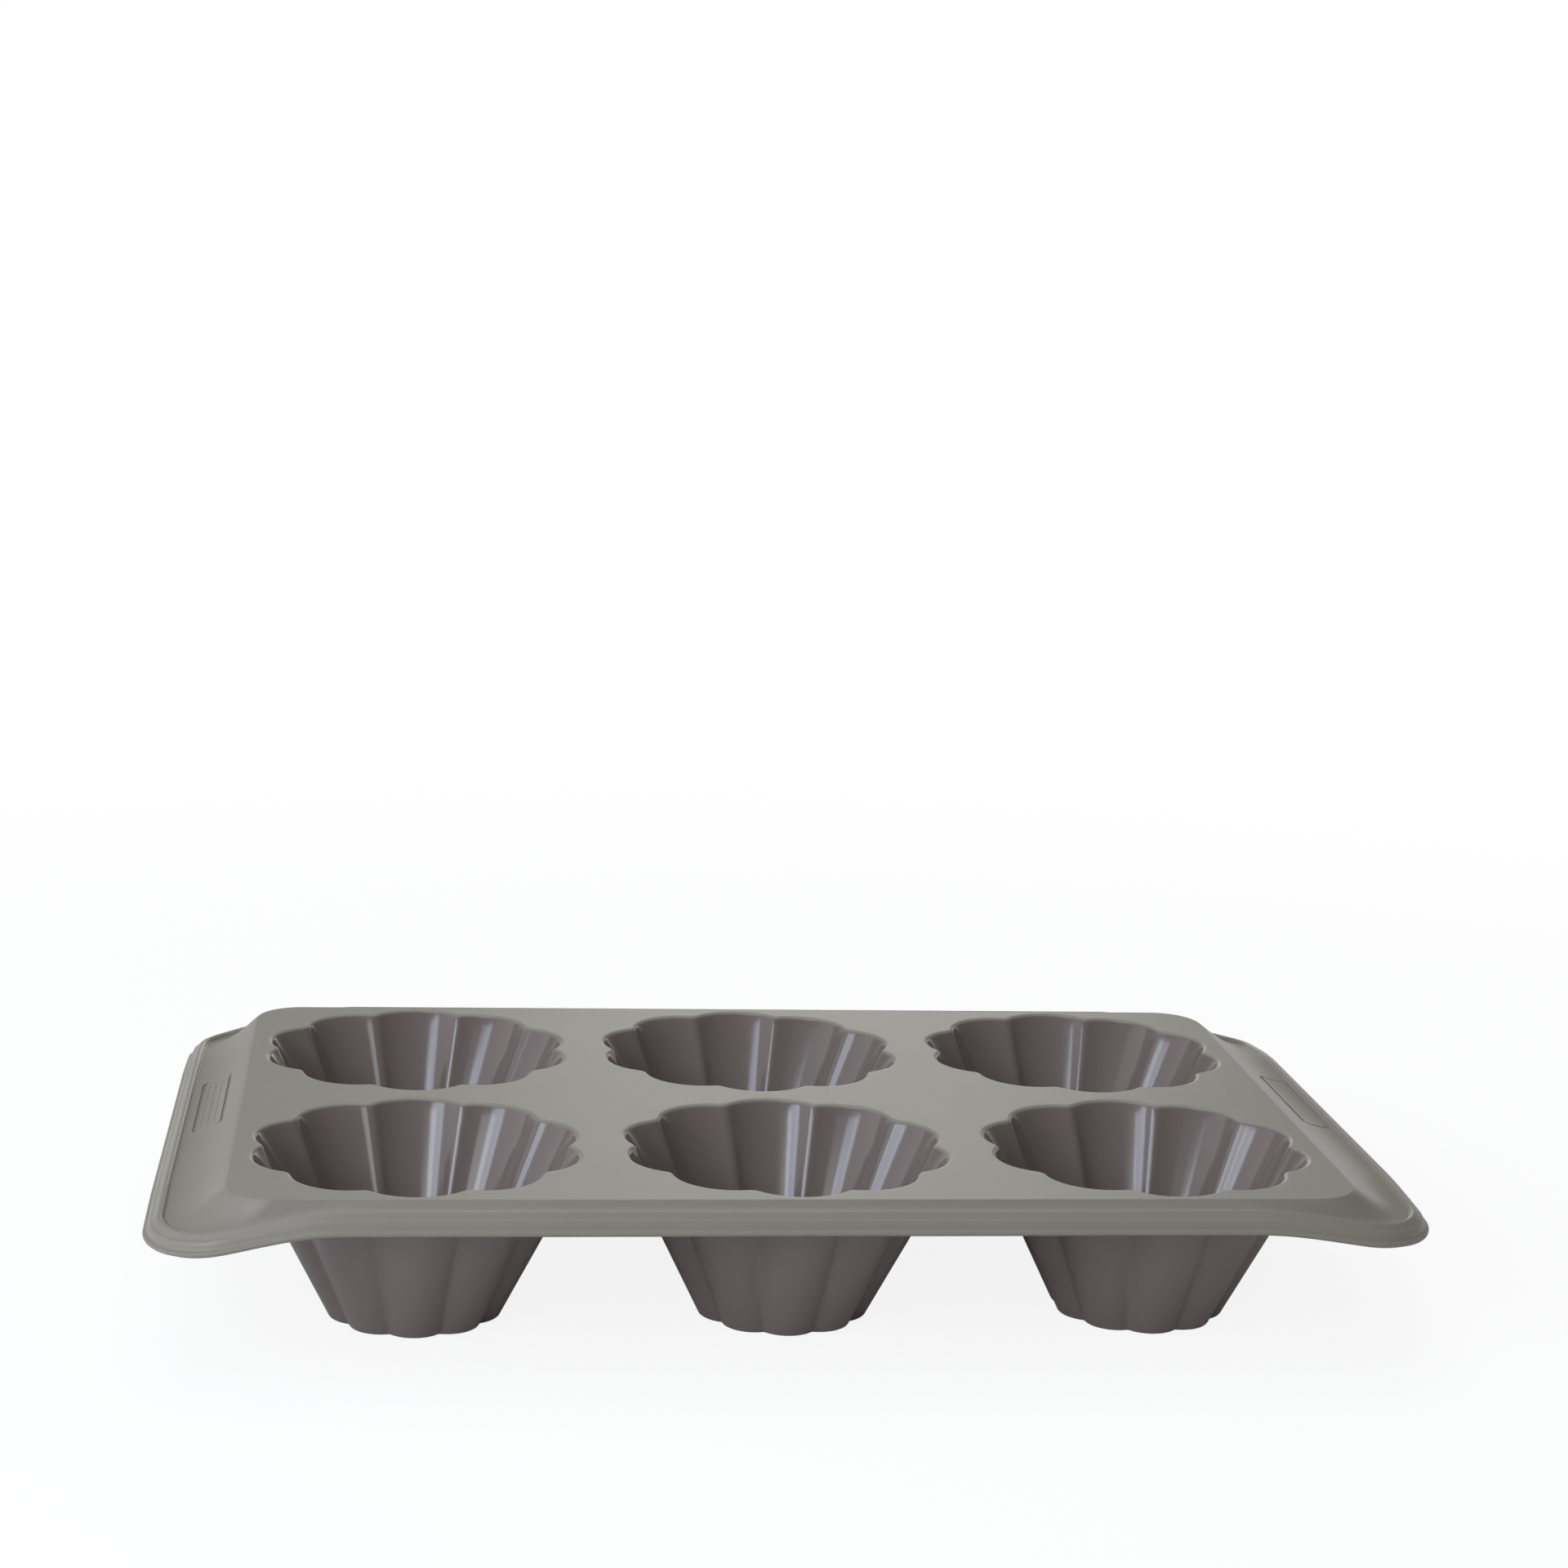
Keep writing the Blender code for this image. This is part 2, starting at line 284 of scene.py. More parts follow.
def direction(bearing: float, elevation: float) -> Vector:
    """Give the direction at an angle from +Y towards +X and an angle up, both in radians."""
    level = math.cos(elevation)
    return Vector((math.sin(bearing) * level, math.cos(bearing) * level, math.sin(elevation)))


def deselect_everything() -> None:
    """Leave edit mode if need be, and select nothing."""
    if bpy.context.object and bpy.context.object.mode != "OBJECT":
        bpy.ops.object.mode_set(mode="OBJECT")
    bpy.ops.object.select_all(action="DESELECT")


def make_active(piece: bpy.types.Object) -> None:
    """Select one object alone and make it the active one.

    Args:
        piece: The object.
    """
    deselect_everything()
    piece.select_set(True)
    bpy.context.view_layer.objects.active = piece


def cup_places() -> Iterator[tuple[str, Plan]]:
    """Name each cup, front row first.

    Returns:
        The row and column of each cup, such as front_left, with its plan centre.
    """
    for row, row_name in enumerate(("front", "back")):
        for column, column_name in enumerate(("left", "middle", "right")):
            centre = ((column - 1) * CUP.column_pitch, (row - 0.5) * CUP.row_pitch)
            yield f"{row_name}_{column_name}", centre


# Modelling by hand


@dataclass(frozen=True)
class Station:
    """One ring of a fluted form: the radius of its lobe tips, its height and its cusp rounding."""

    radius: float
    height: float
    rounding: float


class LobedOutline:
    """The fluted outline: outward arcs that meet in cusps with a small round."""

    def __init__(self, rounding: float) -> None:
        """Work out where the arcs and the cusp rounds meet.

        Args:
            rounding: Radius of the cusp's round, as a share of the radius of the lobe tips.
        """
        self.rounding = rounding
        self.half_pitch = math.pi / CUP.lobes
        self.centre = CUP.lobe_centre_share
        self.arc = 1.0 - self.centre
        across = self.centre * math.sin(self.half_pitch)
        along = self.centre * math.cos(self.half_pitch)
        self.cusp_centre = along + math.sqrt((self.arc + rounding) ** 2 - across**2)
        reach = self.arc / (self.arc + rounding)
        x = self.centre + (self.cusp_centre * math.cos(self.half_pitch) - self.centre) * reach
        y = self.cusp_centre * math.sin(self.half_pitch) * reach
        self.change = math.atan2(y, x)

    def share(self, offset: float) -> float:
        """Give the outline's radius, as a share of the radius of its lobe tips.

        Args:
            offset: Angle from the middle of the nearest lobe, in radians.

        Returns:
            The share, which is 1 at the middle of a lobe.
        """
        offset = abs(offset)
        if offset <= self.change:
            across = self.centre * math.sin(offset)
            return self.centre * math.cos(offset) + math.sqrt(self.arc**2 - across**2)
        aside = self.half_pitch - offset
        across = self.cusp_centre * math.sin(aside)
        return self.cusp_centre * math.cos(aside) - math.sqrt(self.rounding**2 - across**2)


class Bench:
    """One mesh that is shaped in edit mode, ring by ring."""

    def __init__(self, name: str, points: int, radius: float, height: float) -> None:
        """Start the mesh as a circle about the upright axis, and stay in edit mode.

        Args:
            name: Name of the piece.
            points: Points of the circle.
            radius: Radius of the circle.
            height: Height of the circle.
        """
        deselect_everything()
        bpy.ops.mesh.primitive_circle_add(
            vertices=points, radius=radius, fill_type="NOTHING", location=(0, 0, 0)
        )
        self.piece = bpy.context.active_object
        self.piece.name = name
        self.piece.data.name = name
        bpy.ops.object.mode_set(mode="EDIT")
        bpy.ops.mesh.select_mode(type="VERT")
        bpy.ops.transform.translate(value=(0, 0, height))
        self.radius = radius
        self.height = height

    def edit(self) -> bmesh.types.BMesh:
        """Give the mesh that is being edited."""
        return bmesh.from_edit_mesh(self.piece.data)

    def select(self, test: Callable[[bmesh.types.BMVert], bool]) -> None:
        """Select some points, and no others.

        Args:
            test: Tells whether a point is selected.
        """
        mesh = self.edit()
        for vert in mesh.verts:
            vert.select_set(test(vert))
        mesh.select_flush_mode()
        bmesh.update_edit_mesh(self.piece.data)

    def select_edges(self, test: Callable[[bmesh.types.BMEdge], bool]) -> None:
        """Select some edges, and no others.

        Args:
            test: Tells whether an edge is selected.
        """
        bpy.ops.mesh.select_mode(type="EDGE")
        mesh = self.edit()
        for item in (*mesh.verts, *mesh.edges, *mesh.faces):
            item.select = False
        for edge in mesh.edges:
            if test(edge):
                edge.select_set(True)
        bmesh.update_edit_mesh(self.piece.data)

    def ring_step(self, station: Station) -> None:
        """Extrude the selected ring about the upright axis, without a change of its outline.

        Args:
            station: Where the new ring goes.
        """
        bpy.ops.mesh.extrude_edges_move()
        share = station.radius / self.radius
        bpy.ops.transform.resize(value=(share, share, 1.0), center_override=(0, 0, self.height))
        bpy.ops.transform.translate(value=(0, 0, station.height - self.height))
        self.radius = station.radius
        self.height = station.height

    def place_ring(self, points: Sequence[Point], order: Sequence[int]) -> None:
        """Put the newest ring on given points.

        Args:
            points: Where each point of the ring goes.
            order: Index of each point of the ring in the mesh.
        """
        mesh = self.edit()
        mesh.verts.ensure_lookup_table()
        for index, point in zip(order, points):
            mesh.verts[index].co = point
        bmesh.update_edit_mesh(self.piece.data)

    def flute(self, old: LobedOutline | None, new: LobedOutline) -> None:
        """Scale the points of the selected ring, group by group, to a fluted outline.

        Args:
            old: Outline that the ring has now, or None for a circle.
            new: Outline that it gets.
        """
        pitch = 2 * math.pi / CUP.lobes
        step = pitch / FINE.points_in_lobe
        groups: dict[int, list[int]] = {}
        ring = [vert for vert in self.edit().verts if vert.select]
        for vert in ring:
            angle = math.atan2(vert.co.y, vert.co.x) - math.pi / 2
            offset = abs((angle + pitch / 2) % pitch - pitch / 2)
            groups.setdefault(round(offset / step), []).append(vert.index)
        whole = {vert.index for vert in ring}
        for group, members in groups.items():
            inside = set(members)
            share = new.share(group * step) / (old.share(group * step) if old else 1.0)
            self.select(lambda vert: vert.index in inside)
            bpy.ops.transform.resize(value=(share, share, 1.0), center_override=(0, 0, 0))
        self.select(lambda vert: vert.index in whole)

    def close_at(self, height: float) -> None:
        """Fill what is open at one height.

        Args:
            height: The height of the open edges.
        """
        self.select_edges(lambda edge: edge.is_boundary and all(
            abs(vert.co.z - height) < LEVEL_GAP for vert in edge.verts))
        bpy.ops.mesh.fill(use_beauty=True)

    def finish(self) -> bpy.types.Object:
        """Weld the mesh, turn its faces outwards, shade it smooth and leave edit mode.

        Returns:
            The finished object, with its place in its mesh.
        """
        bpy.ops.mesh.select_mode(type="VERT")
        bpy.ops.mesh.select_all(action="SELECT")
        bpy.ops.mesh.remove_doubles(threshold=WELD_GAP)
        bpy.ops.mesh.normals_make_consistent(inside=False)
        bpy.ops.object.mode_set(mode="OBJECT")
        make_active(self.piece)
        bpy.ops.object.shade_smooth_by_angle(angle=SMOOTH_ANGLE)
        return self.piece


def fluted_strip(name: str, stations: list[Station]) -> Bench:
    """Make a fluted form about the upright axis from its rings.

    Args:
        name: Name of the piece.
        stations: Its rings, in order.

    Returns:
        The bench, in edit mode, with the last ring selected.
    """
    first = stations[0]
    bench = Bench(name, CUP.lobes * FINE.points_in_lobe, first.radius, first.height)
    outline = LobedOutline(first.rounding)
    bench.flute(None, outline)
    for station in stations[1:]:
        bench.ring_step(station)
        if station.rounding != outline.rounding:
            fresh = LobedOutline(station.rounding)
            bench.flute(outline, fresh)
            outline = fresh
    return bench


def extruded(name: str, rings: Sequence[Sequence[Point]]) -> Bench:
    """Extrude a ring of points through its places.

    Args:
        name: Name of the piece.
        rings: Every place of the ring, in order.

    Returns:
        The bench, in edit mode, with the last ring selected.
    """
    points = len(rings[0])
    bench = Bench(name, points, RIM.deck_half[0], CUP.height)
    bench.place_ring(rings[0], range(points))
    for turn, ring in enumerate(rings[1:], start=1):
        bpy.ops.mesh.extrude_edges_move()
        bench.place_ring(ring, range(turn * points, (turn + 1) * points))
    return bench


def base_round(wall: Callable[[float], float], floor: float, edge: float) -> list[Plan]:
    """Shape the round from a level floor up into the tapered wall.

    Args:
        wall: Gives the wall's radius at a height.
        floor: Height of the floor.
        edge: Radius of the round.

    Returns:
        The radius and height of each of its rings, from the floor up.
    """
    middle = wall(floor) - edge * math.tan(CUP.turn / 2)
    pairs = []
    for step in range(FINE.fillet_steps + 1):
        angle = CUP.turn * step / FINE.fillet_steps
        height = floor + edge * (1 - math.cos(angle))
        pairs.append((middle + edge * math.sin(angle), height))
    return pairs


# Pieces


@dataclass(frozen=True)
class Cup:
    """One fluted cup below the split, with its flat base and rounded edges."""

    place: str
    centre: Plan

    @property
    def node(self) -> str:
        """Name of the node that the cup stands for."""
        return f"cup_{self.place}"

    @staticmethod
    def side(inside: bool) -> list[Station]:
        """Shape one side of the cup.

        Args:
            inside: Whether it is the inner side.

        Returns:
            The side's rings, from the middle of the base up.
        """
        wall = CUP.inner if inside else CUP.outer
        floor = CUP.wall if inside else 0.0
        rounding = CUP.ridge_share if inside else CUP.groove_share
        edge = CUP.floor_edge_radius if inside else CUP.base_edge_radius
        pairs = base_round(wall, floor, edge)
        flat = [(pairs[0][0] * share, floor) for share in FINE.floor_rings]
        low = pairs[-1][1]
        steps = range(1, FINE.wall_rings + 1)
        heights = [low + (CUP.split - low) * step / FINE.wall_rings for step in steps]
        pairs = flat + pairs + [(wall(height), height) for height in heights]
        return [Station(radius, height, rounding) for radius, height in pairs]

    def build(self) -> bpy.types.Object:
        """Make the cup ring by ring.

        Returns:
            The cup about the upright axis. It is moved to its place by settle.
        """
        stations = self.side(inside=False) + self.side(inside=True)[::-1]
        bench = fluted_strip(f"{self.node}_skin", stations)
        for floor in (0.0, CUP.wall):
            bench.close_at(floor)
        return bench.finish()

    def copy_of(self, pattern: bpy.types.Object) -> bpy.types.Object:
        """Copy the cup from another one, with a mesh of its own.

        Args:
            pattern: The other cup, about the upright axis.

        Returns:
            The copy, about the upright axis too.
        """
        made = pattern.copy()
        made.data = pattern.data.copy()
        bpy.context.scene.collection.objects.link(made)
        made.name = made.data.name = f"{self.node}_skin"
        return made

    @staticmethod
    def dress(piece: bpy.types.Object, inside: bpy.types.Material,
              outside: bpy.types.Material) -> None:
        """Give the cup its two finishes, before it is moved from the upright axis.

        Args:
            piece: The cup.
            inside: Finish of the inner faces, whose colour is darker for painted shade.
            outside: Finish of the outer faces, whose colour is lighter for painted bounce light.
        """
        piece.data.materials.append(outside)
        piece.data.materials.append(inside)
        for face in piece.data.polygons:
            if abs(face.normal.z) > LEVEL_NORMAL:
                inner = face.normal.z > 0
            else:
                inner = face.normal.xy.dot(face.center.xy) < 0
            face.material_index = int(inner)

    def settle(self, piece: bpy.types.Object) -> None:
        """Move the cup's mesh to its place, and hand it to the frame.

        Args:
            piece: The cup, about the upright axis.
        """
        make_active(piece)
        piece.location = (*self.centre, 0.0)
        bpy.ops.object.transform_apply(location=True, rotation=False, scale=False)
        hand_over(piece, self.node)


class Deck:
    """The flat deck with its six mouths, and the collars that hang from them."""

    @staticmethod
    def mouth() -> list[Station]:
        """Shape one mouth and the collar under it.

        Returns:
            The rings, from the deck's top down inside the collar, and up outside it.
        """
        ridge, groove = CUP.ridge_share, CUP.groove_share
        rings = [Station(CUP.mouth_edge + CUP.flat_band, CUP.height, ridge)]
        for step in range(FINE.fillet_steps + 1):
            angle = CUP.turn * step / FINE.fillet_steps
            radius = CUP.mouth_edge - CUP.mouth_fillet * math.sin(angle)
            height = CUP.height - CUP.mouth_fillet * (1 - math.cos(angle))
            rings.append(Station(radius, height, ridge))
        low = rings[-1].height
        for step in range(1, FINE.collar_rings + 1):
            height = low + (CUP.split - low) * step / FINE.collar_rings
            rings.append(Station(CUP.inner(height), height, ridge))
        for step in range(FINE.collar_rings + 1):
            height = CUP.split + (CUP.under - CUP.split) * step / FINE.collar_rings
            rings.append(Station(CUP.outer(height), height, groove))
        return [*rings, Station(CUP.outer(CUP.under) + CUP.flat_band, CUP.under, groove)]

    def build(self) -> bpy.types.Object:
        """Make one mouth, copy it to all six places, and fill the deck between them.

        Returns:
            The finished deck.
        """
        bench = fluted_strip("deck_skin", self.mouth())
        places = [centre for _, centre in cup_places()]
        bench.select(lambda vert: True)
        bpy.ops.transform.translate(value=(*places[0], 0.0))
        for old, new in zip(places, places[1:]):
            step = (new[0] - old[0], new[1] - old[1], 0.0)
            bpy.ops.mesh.duplicate_move(TRANSFORM_OT_translate={"value": step})
        for height in (CUP.height, CUP.under):
            self.add_outline(bench, height)
        bench.select_edges(lambda edge: edge.is_wire)
        bpy.ops.mesh.bridge_edge_loops()
        for height in (CUP.height, CUP.under):
            bench.close_at(height)
        return bench.finish()

    @staticmethod
    def add_outline(bench: Bench, height: float) -> None:
        """Add the deck's outline to the mesh on the bench, as a loose loop.

        Args:
            bench: The bench.
            height: Height of the outline.
        """
        points = rim_plan_at_deck()
        bpy.ops.mesh.select_all(action="DESELECT")
        bpy.ops.mesh.primitive_circle_add(
            vertices=len(points), radius=RIM.deck_half[0], location=(0, 0, height)
        )
        ring = [vert.index for vert in bench.edit().verts if vert.select]
        bench.place_ring([(x, y, height) for x, y in points], ring)

    @staticmethod
    def dress(piece: bpy.types.Object, top: bpy.types.Material,
              outside: bpy.types.Material) -> None:
        """Give the deck its two finishes.

        Args:
            piece: The deck.
            top: Finish of the top and the mouths, painted in the lighter lit tone on the top and
                turning to the darker painted-shade tone down the mouths.
            outside: Finish of the underside and of the collars' outer faces, whose colour is
                lighter for painted bounce light.
        """
        piece.data.materials.append(top)
        piece.data.materials.append(outside)
        places = [centre for _, centre in cup_places()]
        for face in piece.data.polygons:
            flat = Vector((face.center.x, face.center.y))
            away = min((flat - Vector(place) for place in places), key=lambda gap: gap.length)
            outer = face.center.z < CUP.under and face.normal.xy.dot(away) > 0
            face.material_index = int(face.normal.z < -LEVEL_NORMAL or outer)


def long_shares() -> list[float]:
    """Place the stations along a long side, closer together where the bead falls.

    Returns:
        The stations from one end to the other, as shares of half the straight run.
    """
    half_x = RIM.bead_half[0]
    start = (half_x - RIM.droop_length) / (half_x - RIM.bead_corner)
    middle = [start * (2 * step / FINE.side_steps - 1) for step in range(1, FINE.side_steps)]
    droop = [start + (1 - start) * step / FINE.droop_steps for step in range(FINE.droop_steps)]
    return [-share for share in reversed(droop)] + middle + droop


def rounded_loop(half: Plan, corner: float) -> list[Plan]:
    """Give the points of a rounded rectangle, with the same stations at every size.

    Args:
        half: Half sizes along X and Y.
        corner: Radius of the corners.

    Returns:
        Plan points, anticlockwise from the front right corner.
    """
    straight_x, straight_y = half[0] - corner, half[1] - corner
    along = long_shares()
    ends = [2 * step / FINE.end_steps - 1 for step in range(1, FINE.end_steps)]
    sides = (
        [(half[0], share * straight_y) for share in ends],
        [(-share * straight_x, half[1]) for share in along],
        [(-half[0], -share * straight_y) for share in ends],
        [(share * straight_x, -half[1]) for share in along],
    )
    points = []
    for quarter, (sign_x, sign_y) in enumerate(QUARTERS):
        for step in range(FINE.corner_steps + 1):
            angle = math.pi / 2 * (quarter - 1 + step / FINE.corner_steps)
            x = sign_x * straight_x + corner * math.cos(angle)
            y = sign_y * straight_y + corner * math.sin(angle)
            points.append((x, y))
        points.extend(sides[quarter])
    return points


def rim_plan_at_deck() -> list[Plan]:
    """Draw the line where the deck ends and the rim begins.

    Returns:
        Its plan points, anticlockwise from the front right corner.
    """
    soft = RIM.edge_softening
    half_x, half_y = RIM.deck_half
    return rounded_loop((half_x - soft, half_y - soft), RIM.deck_corner - soft)


class Rim:
    """Ramps and bead, with the wire's channel and the pin holes that open into it from below."""

    def __init__(self) -> None:
        """Work out the height of the bead's middle line at each station."""
        plan = rounded_loop(RIM.bead_half, RIM.bead_corner)
        self.bead_heights = [self.bead_height(place) for place in plan]

    @staticmethod
    def bead_height(place: Plan) -> float:
        """Give the height of the bead's middle line.

        Args:
            place: Plan place on the line. It falls towards both ends, and most at the corners.

        Returns:
            The line's height there.
        """
        x, y = place
        fallen = smooth_step((abs(x) - RIM.bead_half[0] + RIM.droop_length) / RIM.droop_length)
        bowed = smooth_step((RIM.bead_half[1] - abs(y)) / RIM.end_bow_reach)
        drop, back_sag = ((RIM.left_drop, RIM.left_back_sag) if x < 0
                          else (RIM.right_drop, RIM.right_back_sag))
        sag = back_sag if y > 0 else 0.0
        end_drop = drop + sag - (RIM.end_bow + sag) * bowed
        return CUP.height - RIM.side_drop - (end_drop - RIM.side_drop) * fallen

    def bead_ring(self, outset: float, rise: float) -> list[Point]:
        """Give a ring beside the bead's middle line.

        Args:
            outset: How far it is moved out in plan.
            rise: How far it is moved up.

        Returns:
            The ring's points.
        """
        half = (RIM.bead_half[0] + outset, RIM.bead_half[1] + outset)
        plan = rounded_loop(half, RIM.bead_corner + outset)
        return [(x, y, z + rise) for (x, y), z in zip(plan, self.bead_heights)]

    @staticmethod
    def ramp_height(share: float, middle: float) -> float:
        """Give the ramp's height.

        Args:
            share: Share of the way out, 0 at the deck's edge and 1 at the crease.
            middle: Height of the bead's middle line beside it.

        Returns:
            The height of the ramp's top face.
        """
        fall = smooth_step(share**RIM.ramp_ease)
        return CUP.height + (middle + RIM.flange_rise - CUP.height) * fall

    def end_height(self, x: float, y: float) -> float:
        """Give the height of an end ramp.

        Args:
            x: Place along X.
            y: Place along Y.

        Returns:
            The height of the ramp's top face there.
        """
        start = RIM.deck_half[0] - RIM.edge_softening
        share = (abs(x) - start) / (RIM.bead_half[0] - RIM.crease_reach - start)
        middle = self.bead_height((math.copysign(RIM.bead_half[0], x), y))
        return self.ramp_height(min(max(share, 0.0), 1.0), middle)

    def ramp_ring(self, share: float, inset: float, sink: float) -> list[Point]:
        """Give a ring on the ramp between the deck's edge and the crease.

        Args:
            share: Share of the way out, 0 at the deck's edge and 1 at the crease.
            inset: How far the ring is drawn in along X, for the underside.
            sink: How far the ring is sunk, for the underside.

        Returns:
            The ring's points.
        """
        reach = RIM.crease_reach
        deck = rim_plan_at_deck()
        half = (RIM.bead_half[0] - reach, RIM.bead_half[1] - reach)
        crease = rounded_loop(half, RIM.bead_corner - reach)
        points = []
        for (ax, ay), (bx, by), middle in zip(deck, crease, self.bead_heights):
            x, y = ax + (bx - ax) * share, ay + (by - ay) * share
            z = self.ramp_height(share, middle) - sink
            drawn_in = inset * min(share / RIM.inset_share, 1.0)
            points.append((x - math.copysign(drawn_in, x), y, z))
        return points

    def rings(self) -> list[list[Point]]:
        """Shape the whole rim.

        Returns:
            Every ring of it, from the deck's top edge round to its under edge.
        """
        steps = FINE.ramp_steps
        down = [(step / steps) ** FINE.ramp_crowding for step in range(steps)]
        ramp = [self.ramp_ring(share, 0.0, 0.0) for share in down]
        bead = [self.bead_ring(outset, rise) for outset, rise in self.bead_section()]
        back = [step / FINE.under_steps for step in range(FINE.under_steps - 1, 0, -1)]
        under = [self.ramp_ring(share, RIM.under_inset, CUP.wall) for share in back]
        return ramp + bead + under + [self.ramp_ring(0.0, 0.0, CUP.wall)]

    @staticmethod
    def bead_section() -> list[Plan]:
        """Shape the bead and the round under it.

        Returns:
            Outset and rise of each ring, from the inner crease over the top to the underside.
        """
        radius = RIM.bead_radius
        first = -math.pi / 2
        last = -math.pi - math.asin((RIM.flange_rise - CUP.wall) / radius)
        steps = FINE.under_bead_steps
        turns = [first + (last - first) * step / steps for step in range(1, steps + 1)]
        round_under = [(radius * math.cos(turn), radius * math.sin(turn)) for turn in turns]
        return [(out * MM, up * MM) for out, up in BEAD_PROFILE] + round_under

    def build(self) -> bpy.types.Object:
        """Extrude the rim ring by ring, and cut the channel, the holes and the panels.

        Returns:
            The finished rim.
        """
        bench = extruded("rim_skin", self.rings())
        bench.select_edges(lambda edge: edge.is_boundary)
        bpy.ops.mesh.bridge_edge_loops()
        rim = bench.finish()
        channel = self.tube("channel_cutter", RIM.channel_radius)
        for cutter in (channel, self.holes(), *self.panel_cutters()):
            self.cut(rim, cutter)
        make_active(rim)
        bpy.ops.object.shade_smooth_by_angle(angle=SMOOTH_ANGLE)
        return rim

    def tube(self, name: str, radius: float) -> bpy.types.Object:
        """Make a closed tube along the bead's middle line: the wire, or its channel's cutter.

        Args:
            name: Name of the piece.
            radius: Radius of the tube.

        Returns:
            The finished tube.
        """
        angles = [2 * math.pi * side / FINE.tube_sides for side in range(FINE.tube_sides)]
        rings = [self.bead_ring(radius * math.cos(a), radius * math.sin(a)) for a in angles]
        return extruded(name, rings + rings[:1]).finish()

    def panel_ring(self, centre: Plan, half: Plan, corner: float, rise: float) -> list[Point]:
        """Give a small rounded rectangle that follows an end ramp.

        Args:
            centre: Its plan centre.
            half: Its half sizes along X and Y.
            corner: Radius of its corners.
            rise: Height above the ramp, negative below it.

        Returns:
            The ring's points, anticlockwise.
        """
        straight_x, straight_y = half[0] - corner, half[1] - corner
        points = []
        for quarter, (sign_x, sign_y) in enumerate(QUARTERS):
            parts = [step / FINE.panel_corner_steps for step in range(FINE.panel_corner_steps + 1)]
            turns = [math.pi / 2 * (quarter - 1 + part) for part in parts]
            x, y = centre[0] + sign_x * straight_x, centre[1] + sign_y * straight_y
            points += [(x + corner * math.cos(t), y + corner * math.sin(t)) for t in turns]
            if sign_y == sign_x:
                way = -sign_x * 2 * straight_x / FINE.panel_side_steps
                last_y = centre[1] + sign_y * half[1]
                points += [(x + way * step, last_y) for step in range(1, FINE.panel_side_steps)]
        return [(x, y, self.end_height(x, y) + rise) for x, y in points]

    def panel_cutters(self) -> list[bpy.types.Object]:
        """Make what cuts the plain framed panel into both end ramps.

        Returns:
            The cutters, one for each groove.
        """
        cutters = []
        for side, inset in ((-1, PANEL.left_inset), (1, PANEL.right_inset)):
            centre = (side * (RIM.bead_half[0] - inset), PANEL.middle_y)
            cutters.append(self.frame_cutter(centre))
            cutters += [self.line_cutter((centre[0] + aside, centre[1]))
                        for aside in PANEL.line_offsets]
        return cutters

    def frame_cutter(self, centre: Plan) -> bpy.types.Object:
        """Make the cutter of a panel's frame, a closed groove that is widest at its top.

        Args:
            centre: Plan centre of the panel.

        Returns:
            The cutter.
        """
        low, high = -PANEL.frame_depth, PANEL.overshoot
        spread = PANEL.frame_foot + (high - low) * PANEL.flare
        profile = ((-PANEL.frame_foot, low), (PANEL.frame_foot, low), (spread, high),
                   (-spread, high))
        rings = []
        for aside, rise in profile:
            half = (PANEL.half_width + aside, PANEL.half_length + aside)
            rings.append(self.panel_ring(centre, half, PANEL.corner + aside, rise))
        return extruded("frame_cutter", rings + rings[:1]).finish()

    def line_cutter(self, centre: Plan) -> bpy.types.Object:
        """Make the cutter of one shallow straight line in a panel.

        Args:
            centre: Plan centre of the line.

        Returns:
            The cutter, which is widest at its top.
        """
        low, high = -PANEL.line_depth, PANEL.overshoot
        rings = []
        for rise in (low, high):
            wide = PANEL.line_foot + (rise - low) * PANEL.flare
            half = (wide, PANEL.line_half_length + wide)
            rings.append(self.panel_ring(centre, half, wide, rise))
        bench = extruded("line_cutter", rings)
        bench.select_edges(lambda edge: edge.is_boundary)
        bpy.ops.mesh.edge_face_add()
        return bench.finish()

    def holes(self) -> bpy.types.Object:
        """Make the upright pins that are cut out under the bead.

        Returns:
            All the pins as one object.
        """
        half_x, half_y = RIM.bead_half
        places = [(x, side * half_y) for side in (-1, 1)
                  for x in (-CUP.column_pitch, 0.0, CUP.column_pitch)]
        places += [(side * half_x, y) for side in (-1, 1)
                   for y in (-RIM.hole_offset, RIM.hole_offset)]
        deselect_everything()
        pins = []
        depth = RIM.bead_radius + RIM.hole_overrun
        for x, y in places:
            middle = self.bead_height((x, y)) - depth / 2
            bpy.ops.mesh.primitive_cylinder_add(
                vertices=FINE.hole_sides, radius=RIM.hole_radius, depth=depth,
                location=(x, y, middle),
            )
            pins.append(bpy.context.active_object)
        for pin in pins:
            pin.select_set(True)
        bpy.ops.object.join()
        bpy.ops.object.transform_apply(location=True, rotation=False, scale=False)
        return bpy.context.active_object

    @staticmethod
    def cut(rim: bpy.types.Object, cutter: bpy.types.Object) -> None:
        """Cut one solid out of the rim, and remove the cutter.

        Args:
            rim: The rim.
            cutter: The solid.
        """
        make_active(rim)
        boolean = rim.modifiers.new("cut", "BOOLEAN")
        boolean.operation = "DIFFERENCE"
        boolean.object = cutter
        bpy.ops.object.modifier_apply(modifier=boolean.name)
        if not rim.data.polygons:
            raise RuntimeError(f"{cutter.name} cut the whole rim away")
        bpy.data.objects.remove(cutter, do_unlink=True)

    @staticmethod
    def dress(piece: bpy.types.Object, finish: bpy.types.Material) -> None:
        """Give the rim, or the wire in it, one finish all over."""
        piece.data.materials.append(finish)


# Materials


